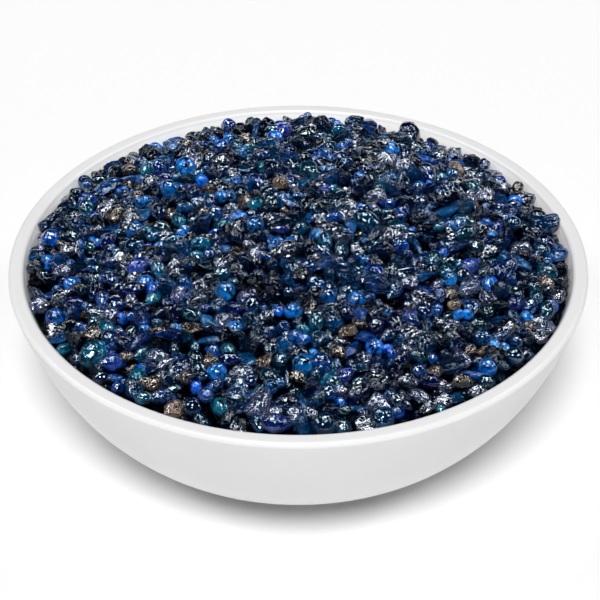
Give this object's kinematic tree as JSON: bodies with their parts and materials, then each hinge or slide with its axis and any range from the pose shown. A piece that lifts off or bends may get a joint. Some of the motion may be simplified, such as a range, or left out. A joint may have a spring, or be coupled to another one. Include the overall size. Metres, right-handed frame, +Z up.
{
  "type": "porcelain dish heaped with resin grains",
  "caption": "Round white glazed dish on a foot ring, with a flat rounded lip, filled above its rim with a mound of small glossy dark blue resin grains.",
  "frame": {"origin": "on the dish's axis, in the plane that its foot ring stands on", "axes": "+Z up along the dish's axis; -Y is the side towards the viewer, +X to the viewer's right"},
  "size_m": [0.14, 0.14, 0.0556],
  "materials": {
    "porcelain_glaze": "gloss",
    "resin_buried": "satin",
    "resin_royal_blue": "gloss",
    "resin_teal": "gloss",
    "resin_violet_blue": "gloss",
    "resin_navy": "gloss",
    "resin_silver_blue": "gloss",
    "resin_midnight_blue": "gloss",
    "resin_steel_blue": "gloss",
    "resin_bright_blue": "gloss",
    "resin_undyed": "gloss"
  },
  "bodies": {
    "dish": {"bowl": "porcelain_glaze"},
    "charge": {"grain_bed": "resin_buried", "round_pearls_centre": "resin_royal_blue", "round_pearls_front": "resin_royal_blue", "round_pearls_right": "resin_royal_blue", "round_pearls_back": "resin_royal_blue", "round_pearls_left": "resin_royal_blue", "oval_beads_centre": "resin_teal", "oval_beads_front": "resin_teal", "oval_beads_right": "resin_teal", "oval_beads_back": "resin_teal", "oval_beads_left": "resin_teal", "drops_centre": "resin_violet_blue", "drops_front": "resin_violet_blue", "drops_right": "resin_violet_blue", "drops_back": "resin_violet_blue", "drops_left": "resin_violet_blue", "dark_nuggets_centre": "resin_navy", "dark_nuggets_front": "resin_navy", "dark_nuggets_right": "resin_navy", "dark_nuggets_back": "resin_navy", "dark_nuggets_left": "resin_navy", "crinkled_lumps_centre": "resin_silver_blue", "crinkled_lumps_front": "resin_silver_blue", "crinkled_lumps_right": "resin_silver_blue", "crinkled_lumps_back": "resin_silver_blue", "crinkled_lumps_left": "resin_silver_blue", "pointed_chips_centre": "resin_midnight_blue", "pointed_chips_front": "resin_midnight_blue", "pointed_chips_right": "resin_midnight_blue", "pointed_chips_back": "resin_midnight_blue", "pointed_chips_left": "resin_midnight_blue", "flakes_centre": "resin_steel_blue", "flakes_front": "resin_steel_blue", "flakes_right": "resin_steel_blue", "flakes_back": "resin_steel_blue", "flakes_left": "resin_steel_blue", "twins_centre": "resin_bright_blue", "twins_front": "resin_bright_blue", "twins_right": "resin_bright_blue", "twins_back": "resin_bright_blue", "twins_left": "resin_bright_blue", "undyed_bits_centre": "resin_undyed", "undyed_bits_front": "resin_undyed", "undyed_bits_right": "resin_undyed", "undyed_bits_back": "resin_undyed", "undyed_bits_left": "resin_undyed"}
  },
  "joints": [
    {"name": "charge_lift", "type": "slide", "parent": "dish", "child": "charge", "axis": [0, 0, 1], "range_m": [0, 0.06]}
  ]
}
